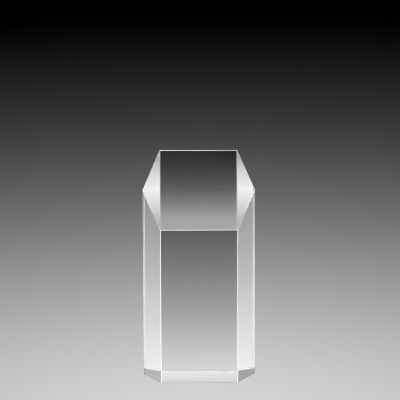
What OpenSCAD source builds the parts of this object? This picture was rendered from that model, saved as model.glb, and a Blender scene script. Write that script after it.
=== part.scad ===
// A crystal award cut from one block of clear optical crystal: a six-sided
// column, wider than it is deep, whose top is ground to one plane that falls
// from the back edge to the front edge. Every edge is eased by a narrow bevel,
// and the sharp back edge of the top is eased by a narrow level flat.
//
// Millimetres. +Z is up, the front faces -Y, and the origin is the centre of
// the base, on the surface that the award stands on.

/* [Block] */
// Overall height, at the back edge
height = 152.4; // [125:0.2:220]
// Width across the two side corners, before bevelling
width = 76; // [68:0.5:110]
// Width of the front face, and of the back face, before bevelling
face_w = 52; // [30:0.5:62]
// Depth from the front face to the back face
depth = 40; // [25:0.5:60]

/* [Slanted top] */
// Height of the front edge, before bevelling
front_h = 107.2; // [70:0.1:115]
// Depth of the level flat along the back edge
flat_d = 1.2; // [0.4:0.1:3]

/* [Edges] */
// Width of the bevel on every other edge
bevel_w = 0.6; // [0.3:0.1:2]

/* [Hidden] */

// The block is what is left of a rough one after it is cut back to each of its
// planes. A plane is [outward normal, distance from the origin].
function unit(v) = v / norm(v);
function plane(normal, point) = [unit(normal), unit(normal) * point];

// The six upright faces, in order round the column from the front.
half_w = width / 2;
half_d = depth / 2;
corner_x = half_w - face_w / 2;
function slope_face(x, y) = plane([x * half_d, y * corner_x, 0], [x * half_w, 0, 0]);
upright_faces = [
    plane([0, -1, 0], [0, -half_d, 0]),
    slope_face(1, -1),
    slope_face(1, 1),
    plane([0, 1, 0], [0, half_d, 0]),
    slope_face(-1, 1),
    slope_face(-1, -1),
];
last_face = len(upright_faces) - 1;
back_index = 3;

// The base, and the top plane, from the front edge up to the level flat.
base_face = plane([0, 0, -1], [0, 0, 0]);
top_face = plane([0, front_h - height, depth - flat_d], [0, -half_d, front_h]);

// The bevel between two faces is square to the line that halves their angle. It
// is set back from the sharp edge until its own width is bevel_w.
function bevel(a, b) =
    let (
        both = a[0] + b[0],
        turn = acos(a[0] * b[0]),
        setback = bevel_w / 2 * tan(turn / 2)
    )
    [unit(both), (a[1] + b[1]) / norm(both) - setback];

upright_bevels = [
    for (i = [0:last_face])
        bevel(upright_faces[i], upright_faces[i == last_face ? 0 : i + 1])
];
base_bevels = [for (face = upright_faces) bevel(face, base_face)];
top_bevels = [
    for (i = [0:last_face])
        if (i != back_index) bevel(upright_faces[i], top_face)
];

// Everything outside one plane, as a slab far larger than the block.
module outside(cut_plane) {
    normal = cut_plane[0];
    reach = 2 * (height + width);
    rotate([0, acos(normal.z), atan2(normal.y, normal.x)])
        translate([-reach / 2, -reach / 2, cut_plane[1]])
            cube([reach, reach, reach]);
}

// The whole award. The rough block's own top is the level flat.
module crystal_block() {
    color("aliceblue")
        difference() {
            translate([-width, -depth, 0])
                cube([2 * width, 2 * depth, height]);
            for (cut_plane = concat(upright_faces, [top_face], upright_bevels, base_bevels, top_bevels))
                outside(cut_plane);
        }
}

crystal_block();
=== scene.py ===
"""A clear crystal award on a pale floor, in plain, soft studio light.

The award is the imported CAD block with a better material. A clear block shows only what
stands round it, so the rest of the script is its small studio: a floor, graded cards
round the block, and light panels off its side faces. Each card is seen only in light that
has come through the block, or only in light that its faces mirror, so none of them shows
beside it. Everything is in metres, with the front of the block towards -Y.
"""

import math

import bpy
from mathutils import Matrix, Vector


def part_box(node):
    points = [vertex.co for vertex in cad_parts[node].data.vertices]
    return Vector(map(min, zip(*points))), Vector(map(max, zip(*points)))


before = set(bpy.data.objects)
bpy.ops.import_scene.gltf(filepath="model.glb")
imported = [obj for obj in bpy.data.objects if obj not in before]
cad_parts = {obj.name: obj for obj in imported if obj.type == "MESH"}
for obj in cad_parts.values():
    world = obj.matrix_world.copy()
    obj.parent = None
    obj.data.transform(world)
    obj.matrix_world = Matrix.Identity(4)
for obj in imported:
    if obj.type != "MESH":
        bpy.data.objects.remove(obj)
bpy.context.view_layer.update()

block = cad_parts["crystal_block"]
low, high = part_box("crystal_block")
HALF_DEPTH = (high.y - low.y) / 2

# The camera: a long lens, a little above the block. Angles are in degrees.
CAMERA_DISTANCE = 2.213
CAMERA_ELEVATION = 14.66
CAMERA_AZIMUTH = -0.54
CAMERA_ROLL = -0.17
CAMERA_LENS = 295.95
SENSOR_WIDTH = 36.0
CAMERA_TARGET = Vector((0.00085, 0.0, 0.1228))

# The crystal. Its polished facets face in five directions, or straight away from one of
# them. Two directions are the same where their dot product is at least this.
CRYSTAL_IOR = 1.517
FACET_DIRECTIONS = 5
SAME_DIRECTION = 0.9995

# The finely ground bevels and the level flat along the back of the top. A whiteness of 0
# is clear, and 1 is white. The white is partly the milk of the grinding and partly a painted
# highlight, strongest on the upright front and back edges. A bevel seen from within the
# block is dimmed, a painted shade, but one round the base, which then tilts up by at least
# the given amount, is a little white there, a painted highlight.
GROUND_ROUGHNESS = 0.3
GROUND_AND_HIGHLIGHT_WHITE = 0.75
FLAT_WHITE_AND_HIGHLIGHT = 0.9
BASE_BEVEL_HIGHLIGHT = 0.3
BASE_BEVEL_TILT = 0.5
INSIDE_PAINTED_SHADE = 0.9
GRAIN_SCALE = 9000.0
GRAIN_DETAIL = 2
GRAIN_DEPTH = 0.35

# The floor lies just below the block, so that the base still mirrors. Cards on the floor
# are lifted clear of it.
FLOOR_REACH = 6.0
FLOOR_DROP = 0.0002
FLOOR_GRAIN_SCALE = 900.0
FLOOR_GRAIN_DETAIL = 4
FLOOR_DARK = (0.775, 0.785, 0.805, 1.0)
FLOOR_LIGHT = (0.805, 0.815, 0.835, 1.0)
CARD_LIFT = 0.0006

# The tones of cards are greys from 0 to 255, graded evenly to the eye. Their brightness
# makes up for the light lost at the block's own surfaces.
WHITE_TONE = 255
EYE_GAMMA = 2.2
THROUGH_GAIN = 1.09

# The backdrop seen through the block: along the floor, up a slope, then upright
BACKDROP_HALF_WIDTH = 0.260
BACKDROP_FOOT = HALF_DEPTH + 0.0005
BACKDROP_BEND = 0.145
BACKDROP_BACK = 0.070
BACKDROP_EDGE = 0.0847
BACKDROP_TOP = 0.120
FLOOR_TONE = 206
BEND_TONE = 155
EDGE_TONE = 80
TOP_TONE = 0

# The cards seen by way of the base, which face down. The middle one lies just below the
# other two, and so hides the parts of them that it overlaps.
MIDDLE_CARD_HEIGHT = 0.028
MIDDLE_CARD_NEAR = 0.082
MIDDLE_CARD_FAR = 0.110
MIDDLE_CARD_HALF_WIDTH = 0.0285
MIDDLE_CARD_TONES = (204, 228)
SIDE_CARD_HEIGHT = 0.0281
SIDE_CARD_X = 0.032
SIDE_CARD_NEAR = 0.062
SIDE_CARD_FAR = 0.087
SIDE_CARD_HALF_WIDTH = 0.018
SIDE_CARD_TONES = (148, 171)

# The cards that the small side facets of the top look down on. These are for the right.
TOP_CARD_NEAR = Vector((0.100, -0.047))
TOP_CARD_FAR = Vector((0.175, -0.086))
TOP_CARD_ACROSS = Vector((0.014, 0.026))
TOP_CARD_TONES = (165, 206, 238, 204, 150)

# Light panels that the side faces mirror. These places are for the back right one. Seen
# from the camera, a panel's foot begins at the line where the side face shows the base.
PANEL_NEAR = Vector((0.0503, 0.0018))
PANEL_FAR = Vector((0.0939, 0.0264))
PANEL_HALF_WIDTH = 0.0255
PANEL_HEIGHT = 0.200
PANEL_FOOT_TONES = (209, 210)
PANEL_TONES = (210, 230)
PANEL_BRIGHTNESS = 4.0

# The lights' power is in watts and their spread in degrees. The edge light's place is for
# the back right one.
OVERHEAD_POWER = 1.86
OVERHEAD_SPREAD = 124
OVERHEAD_SIZE = 0.12
OVERHEAD_PLACE = Vector((0.0, -0.112, 0.705))
EDGE_LIGHT_POWER = 7.0
EDGE_LIGHT_SIZE = 0.3
EDGE_LIGHT_PLACE = Vector((0.5, 0.7, 0.25))
EDGE_LIGHT_AIM = Vector((0.0, 0.0, 0.08))

# The strength of the sky seen through the block, at the horizon and overhead
SKY_LOW = 0.4
SKY_HIGH = 1.4

# How far light is followed, and how bright one sample may be, against stray white specks
MOST_BOUNCES = 64
MOST_TRANSMISSIONS = 16
MOST_REFLECTIONS = 64
DIRECT_LIMIT = 6.0
INDIRECT_LIMIT = 3.0
PIXEL_FILTER = 1.0

RAYS = ("camera", "diffuse", "glossy", "transmission", "volume_scatter", "shadow")
SIDES = (("left", -1), ("right", 1))
ENDS = (("front", -1), ("back", 1))


def make_camera():
    """A long lens, a little above the block and in front of it."""
    azimuth = math.radians(CAMERA_AZIMUTH)
    elevation = math.radians(CAMERA_ELEVATION)
    forward = Vector((
        -math.sin(azimuth) * math.cos(elevation),
        math.cos(azimuth) * math.cos(elevation),
        -math.sin(elevation),
    ))
    data = bpy.data.cameras.new("camera")
    data.lens = CAMERA_LENS
    data.sensor_width = SENSOR_WIDTH
    data.clip_start = 0.05
    data.clip_end = 50.0
    camera = bpy.data.objects.new("camera", data)
    bpy.context.scene.collection.objects.link(camera)
    camera.rotation_mode = "QUATERNION"
    camera.location = CAMERA_TARGET - forward * CAMERA_DISTANCE
    level = forward.to_track_quat("-Z", "Y").to_matrix()
    roll = Matrix.Rotation(math.radians(CAMERA_ROLL), 3, "Z")
    camera.rotation_quaternion = (level @ roll).to_quaternion()
    bpy.context.scene.camera = camera


def new_material(name):
    """An empty node material, with its tree and its output node."""
    material = bpy.data.materials.new(name)
    material.use_nodes = True
    tree = material.node_tree
    tree.nodes.clear()
    return material, tree, tree.nodes.new("ShaderNodeOutputMaterial")


def calc(tree, operation, *values):
    """A math node's result. Each value is a number or another node's output."""
    node = tree.nodes.new("ShaderNodeMath")
    node.operation = operation
    for socket, value in zip(node.inputs, values):
        if isinstance(value, (int, float)):
            socket.default_value = value
        else:
            tree.links.new(value, socket)
    return node.outputs[0]


def noise(tree, scale, detail):
    """Fine noise from 0 to 1, fixed to the piece."""
    coords = tree.nodes.new("ShaderNodeTexCoord")
    texture = tree.nodes.new("ShaderNodeTexNoise")
    texture.inputs["Scale"].default_value = scale
    texture.inputs["Detail"].default_value = detail
    tree.links.new(coords.outputs["Object"], texture.inputs["Vector"])
    return texture.outputs["Fac"]


def facet_directions():
    """The directions of the block's largest facets, with parallel facets as one."""
    areas = {}
    for polygon in block.data.polygons:
        normal = polygon.normal
        same = next((d for d in areas if abs(d.dot(normal)) > SAME_DIRECTION), None)
        key = same or normal.copy().freeze()
        areas[key] = areas.get(key, 0) + polygon.area
    return sorted(areas, key=areas.get, reverse=True)[:FACET_DIRECTIONS]


def ground_and_highlight_mask(tree, normal, level_flat):
    """1 on the bevels and the level flat, which are ground and carry the painted highlight, and 0 on the
    polished facets.
    """
    nearest = 0.0
    for direction in facet_directions():
        dot = tree.nodes.new("ShaderNodeVectorMath")
        dot.operation = "DOT_PRODUCT"
        dot.inputs[1].default_value = direction
        tree.links.new(normal, dot.inputs[0])
        nearest = calc(tree, "MAXIMUM", calc(tree, "ABSOLUTE", dot.outputs["Value"]), nearest)
    return calc(tree, "MAXIMUM", level_flat, calc(tree, "LESS_THAN", nearest, SAME_DIRECTION))


def bevel_white_and_highlight(tree, split, inside):
    """How white a bevel is: partly the milk of its grinding and partly a painted highlight, which is most on
    the upright front and back edges and least at the sides.

    inside is 1 where the bevel is seen from within the block, and 0 where it isn't.
    """
    facing = calc(tree, "POWER", calc(tree, "ABSOLUTE", split.outputs["Y"]), 2)
    tilt = calc(tree, "ABSOLUTE", split.outputs["Z"])
    upright = calc(tree, "POWER", calc(tree, "SUBTRACT", 1, tilt), 2)
    # Painted shade: seen from within the block, the white of a bevel is dimmed.
    inside_shade = calc(tree, "SUBTRACT", 1, calc(tree, "MULTIPLY", inside, INSIDE_PAINTED_SHADE))
    milk_and_highlight = calc(tree, "MULTIPLY", calc(tree, "MULTIPLY", upright, inside_shade), GROUND_AND_HIGHLIGHT_WHITE)
    # Painted highlight: round the base, and only where seen from within the block, a little white is added.
    round_base = calc(tree, "GREATER_THAN", split.outputs["Z"], BASE_BEVEL_TILT)
    base_highlight = calc(tree, "MULTIPLY", calc(tree, "MULTIPLY", round_base, inside), BASE_BEVEL_HIGHLIGHT)
    return calc(tree, "MULTIPLY", facing, calc(tree, "ADD", milk_and_highlight, base_highlight))


def crystal_material():
    """Clear polished crystal, with a fine milky grain where its edges are ground, and a painted highlight
    and shade in the white of those edges.
    """
    material, tree, output = new_material("optical_crystal")
    geometry = tree.nodes.new("ShaderNodeNewGeometry")
    normal = geometry.outputs["True Normal"]
    split = tree.nodes.new("ShaderNodeSeparateXYZ")
    tree.links.new(normal, split.inputs[0])
    place = tree.nodes.new("ShaderNodeSeparateXYZ")
    tree.links.new(geometry.outputs["Position"], place.inputs[0])

    # The base is level too, so the level flat is the level facet of the upper half.
    level = calc(tree, "GREATER_THAN", calc(tree, "ABSOLUTE", split.outputs["Z"]), SAME_DIRECTION)
    upper_half = calc(tree, "GREATER_THAN", place.outputs["Z"], high.z / 2)
    level_flat = calc(tree, "MULTIPLY", level, upper_half)
    ground_and_highlight = ground_and_highlight_mask(tree, normal, level_flat)

    # The ground edges are white and rough by way of their grain. Their white is partly a painted highlight
    # and shade.
    grain = noise(tree, GRAIN_SCALE, GRAIN_DETAIL)
    speckle = calc(tree, "ADD", 1 - GRAIN_DEPTH / 2, calc(tree, "MULTIPLY", grain, GRAIN_DEPTH))
    milk_and_highlight = bevel_white_and_highlight(tree, split, geometry.outputs["Backfacing"])
    # The level flat is white all over, partly ground and partly a painted highlight along the back of the
    # top.
    milk_and_highlight = calc(tree, "ADD", milk_and_highlight, calc(tree, "MULTIPLY", level_flat, FLAT_WHITE_AND_HIGHLIGHT))
    milk_and_highlight = calc(tree, "MULTIPLY", calc(tree, "MULTIPLY", milk_and_highlight, speckle), ground_and_highlight)
    rough = calc(tree, "MULTIPLY", ground_and_highlight, calc(tree, "MULTIPLY", speckle, GROUND_ROUGHNESS))

    shader = tree.nodes.new("ShaderNodeBsdfPrincipled")
    shader.inputs["Base Color"].default_value = (1.0, 1.0, 1.0, 1.0)
    shader.inputs["IOR"].default_value = CRYSTAL_IOR
    tree.links.new(rough, shader.inputs["Roughness"])
    tree.links.new(calc(tree, "SUBTRACT", 1, milk_and_highlight), shader.inputs["Transmission Weight"])
    tree.links.new(shader.outputs["BSDF"], output.inputs["Surface"])
    return material


def stage_quad(name, corners):
    """A four-cornered stage surface, whose V runs from its first side to its third."""
    mesh = bpy.data.meshes.new(name)
    mesh.from_pydata([tuple(corner) for corner in corners], [], [(0, 1, 2, 3)])
    uv = mesh.uv_layers.new(name="UVMap")
    for loop, place in zip(uv.data, ((0, 0), (1, 0), (1, 1), (0, 1))):
        loop.uv = place
    obj = bpy.data.objects.new(name, mesh)
    bpy.context.scene.collection.objects.link(obj)
    return obj


def graded_glow(tree, tones, brightness):
    """Light that goes along V through evenly spaced tones, of which there are two or more."""
    coords = tree.nodes.new("ShaderNodeTexCoord")
    split = tree.nodes.new("ShaderNodeSeparateXYZ")
    ramp = tree.nodes.new("ShaderNodeValToRGB")
    glow = tree.nodes.new("ShaderNodeEmission")
    tree.links.new(coords.outputs["UV"], split.inputs[0])
    tree.links.new(split.outputs["Y"], ramp.inputs["Fac"])
    stops = ramp.color_ramp.elements
    while len(stops) < len(tones):
        stops.new(0.5)
    for i, tone in enumerate(tones):
        grey = tone / WHITE_TONE
        stops[i].position = i / (len(tones) - 1)
        stops[i].color = (grey, grey, grey, 1)
    light = calc(tree, "POWER", ramp.outputs["Color"], EYE_GAMMA)
    tree.links.new(calc(tree, "MULTIPLY", light, brightness), glow.inputs["Strength"])
    return glow.outputs[0]


def only_from_below(tree, surface):
    """The surface, left out where it is seen from above."""
    geometry = tree.nodes.new("ShaderNodeNewGeometry")
    split = tree.nodes.new("ShaderNodeSeparateXYZ")
    clear = tree.nodes.new("ShaderNodeBsdfTransparent")
    mix = tree.nodes.new("ShaderNodeMixShader")
    tree.links.new(geometry.outputs["Normal"], split.inputs[0])
    tree.links.new(calc(tree, "GREATER_THAN", split.outputs["Z"], 0), mix.inputs["Fac"])
    tree.links.new(surface, mix.inputs[1])
    tree.links.new(clear.outputs[0], mix.inputs[2])
    return mix.outputs[0]


def card(name, start, end, across, tones, seen_by="transmission", brightness=THROUGH_GAIN, faces_down=False):
    """A graded, glowing card from start to end, seen by one kind of ray only.

    across runs from its middle to one side, so the card is twice as wide as across is long.
    """
    start, end, across = Vector(start), Vector(end), Vector(across)
    obj = stage_quad(name, [start - across, start + across, end + across, end - across])
    for ray in RAYS:
        setattr(obj, "visible_" + ray, ray == seen_by)
    material, tree, output = new_material(name)
    surface = graded_glow(tree, tones, brightness)
    if faces_down:
        surface = only_from_below(tree, surface)
    tree.links.new(surface, output.inputs["Surface"])
    obj.data.materials.append(material)


def make_backdrop():
    """What is seen straight through the block: pale at its foot and black at the top."""
    foot = (0, BACKDROP_FOOT, CARD_LIFT)
    bend = (0, BACKDROP_BEND, CARD_LIFT)
    edge = (0, BACKDROP_BACK, BACKDROP_EDGE)
    top = (0, BACKDROP_BACK, BACKDROP_TOP)
    across = (BACKDROP_HALF_WIDTH, 0, 0)
    card("backdrop_floor", foot, bend, across, (FLOOR_TONE, BEND_TONE))
    card("backdrop_slope", bend, edge, across, (BEND_TONE, EDGE_TONE))
    card("backdrop_upright", edge, top, across, (EDGE_TONE, TOP_TONE))


def make_base_cards():
    """What is seen by way of the base, which mirrors like still water."""
    near = (0, MIDDLE_CARD_NEAR, MIDDLE_CARD_HEIGHT)
    far = (0, MIDDLE_CARD_FAR, MIDDLE_CARD_HEIGHT)
    across = (MIDDLE_CARD_HALF_WIDTH, 0, 0)
    card("base_card_middle", near, far, across, MIDDLE_CARD_TONES, faces_down=True)
    for (name, side), tone in zip(SIDES, SIDE_CARD_TONES):
        near = (side * SIDE_CARD_X, SIDE_CARD_NEAR, SIDE_CARD_HEIGHT)
        far = (side * SIDE_CARD_X, SIDE_CARD_FAR, SIDE_CARD_HEIGHT)
        across = (SIDE_CARD_HALF_WIDTH, 0, 0)
        card("base_card_" + name, near, far, across, (tone, tone), faces_down=True)


def make_top_side_cards():
    """What the two small side facets of the top look down on."""
    for name, side in SIDES:
        near = (side * TOP_CARD_NEAR.x, TOP_CARD_NEAR.y, CARD_LIFT)
        far = (side * TOP_CARD_FAR.x, TOP_CARD_FAR.y, CARD_LIFT)
        across = (TOP_CARD_ACROSS.x, side * TOP_CARD_ACROSS.y, 0)
        card("top_card_" + name, near, far, across, TOP_CARD_TONES)


def make_light_panels():
    """An upright panel off each side face, with a foot that lies on the floor."""
    across = (0, PANEL_HALF_WIDTH, 0)
    for side_name, side in SIDES:
        for end_name, end in ENDS:
            name = end_name + "_" + side_name
            near = (side * PANEL_NEAR.x, end * PANEL_NEAR.y, CARD_LIFT)
            far = (side * PANEL_FAR.x, end * PANEL_FAR.y, CARD_LIFT)
            top = (side * PANEL_FAR.x, end * PANEL_FAR.y, PANEL_HEIGHT)
            card("panel_foot_" + name, near, far, across, PANEL_FOOT_TONES, "glossy", PANEL_BRIGHTNESS)
            card("panel_" + name, far, top, across, PANEL_TONES, "glossy", PANEL_BRIGHTNESS)


def make_floor():
    """A wide matt floor, pale and very slightly cool, with the faint grain of paper."""
    near, far, z = -FLOOR_REACH, FLOOR_REACH, -FLOOR_DROP
    floor = stage_quad("floor", [(near, near, z), (far, near, z), (far, far, z), (near, far, z)])
    material, tree, output = new_material("floor")
    shader = tree.nodes.new("ShaderNodeBsdfPrincipled")
    tint = tree.nodes.new("ShaderNodeValToRGB")
    tint.color_ramp.elements[0].color = FLOOR_DARK
    tint.color_ramp.elements[1].color = FLOOR_LIGHT
    tree.links.new(noise(tree, FLOOR_GRAIN_SCALE, FLOOR_GRAIN_DETAIL), tint.inputs["Fac"])
    tree.links.new(tint.outputs["Color"], shader.inputs["Base Color"])
    shader.inputs["Roughness"].default_value = 1.0
    shader.inputs["Specular IOR Level"].default_value = 0.0
    tree.links.new(shader.outputs["BSDF"], output.inputs["Surface"])
    floor.data.materials.append(material)


def area_light(name, location, aim, size, power, spread=180):
    """A square light that is itself unseen."""
    data = bpy.data.lights.new(name, "AREA")
    data.shape = "SQUARE"
    data.size = size
    data.energy = power
    data.spread = math.radians(spread)
    light = bpy.data.objects.new(name, data)
    bpy.context.scene.collection.objects.link(light)
    light.location = location
    light.rotation_mode = "QUATERNION"
    light.rotation_quaternion = (aim - location).to_track_quat("-Z", "Y")
    for ray in ("camera", "glossy", "transmission"):
        setattr(light, "visible_" + ray, False)
    return light


def make_lights():
    """A soft pool of light on the floor, and four lights on the block's edges."""
    spot_below = OVERHEAD_PLACE * Vector((1, 1, 0))
    area_light("overhead", OVERHEAD_PLACE, spot_below, OVERHEAD_SIZE, OVERHEAD_POWER, OVERHEAD_SPREAD)
    only_block = bpy.data.collections.new("lit_by_the_edge_lights")
    only_block.objects.link(block)
    for side_name, side in SIDES:
        for end_name, end in ENDS:
            name = "edge_light_" + end_name + "_" + side_name
            place = EDGE_LIGHT_PLACE * Vector((side, end, 1))
            light = area_light(name, place, EDGE_LIGHT_AIM, EDGE_LIGHT_SIZE, EDGE_LIGHT_POWER)
            light.light_linking.receiver_collection = only_block


def make_sky():
    """A sky seen only through the block, brightest overhead."""
    world = bpy.data.worlds.new("world")
    bpy.context.scene.world = world
    world.use_nodes = True
    tree = world.node_tree
    background = tree.nodes["Background"]
    coords = tree.nodes.new("ShaderNodeTexCoord")
    split = tree.nodes.new("ShaderNodeSeparateXYZ")
    tree.links.new(coords.outputs["Generated"], split.inputs[0])
    height = calc(tree, "POWER", calc(tree, "MAXIMUM", split.outputs["Z"], 0), 2)
    strength = calc(tree, "ADD", SKY_LOW, calc(tree, "MULTIPLY", height, SKY_HIGH - SKY_LOW))
    background.inputs["Color"].default_value = (1, 1, 1, 1)
    tree.links.new(strength, background.inputs["Strength"])
    for ray in ("camera", "diffuse", "glossy"):
        setattr(world.cycles_visibility, ray, False)


def set_up_light_paths():
    """Enough bounces for light inside the block, with crisp edges and plain tones."""
    scene = bpy.context.scene
    scene.view_settings.view_transform = "Standard"
    scene.cycles.max_bounces = MOST_BOUNCES
    scene.cycles.transmission_bounces = MOST_TRANSMISSIONS
    scene.cycles.glossy_bounces = MOST_REFLECTIONS
    scene.cycles.sample_clamp_direct = DIRECT_LIMIT
    scene.cycles.sample_clamp_indirect = INDIRECT_LIMIT
    scene.cycles.filter_width = PIXEL_FILTER


def finish_block():
    """Crystal all over. The block puts neither shade nor bright patches on the floor."""
    block.data.materials.clear()
    block.data.materials.append(crystal_material())
    block.visible_shadow = False
    block.visible_diffuse = False


set_up_light_paths()
make_camera()
finish_block()
make_floor()
make_backdrop()
make_base_cards()
make_top_side_cards()
make_light_panels()
make_lights()
make_sky()
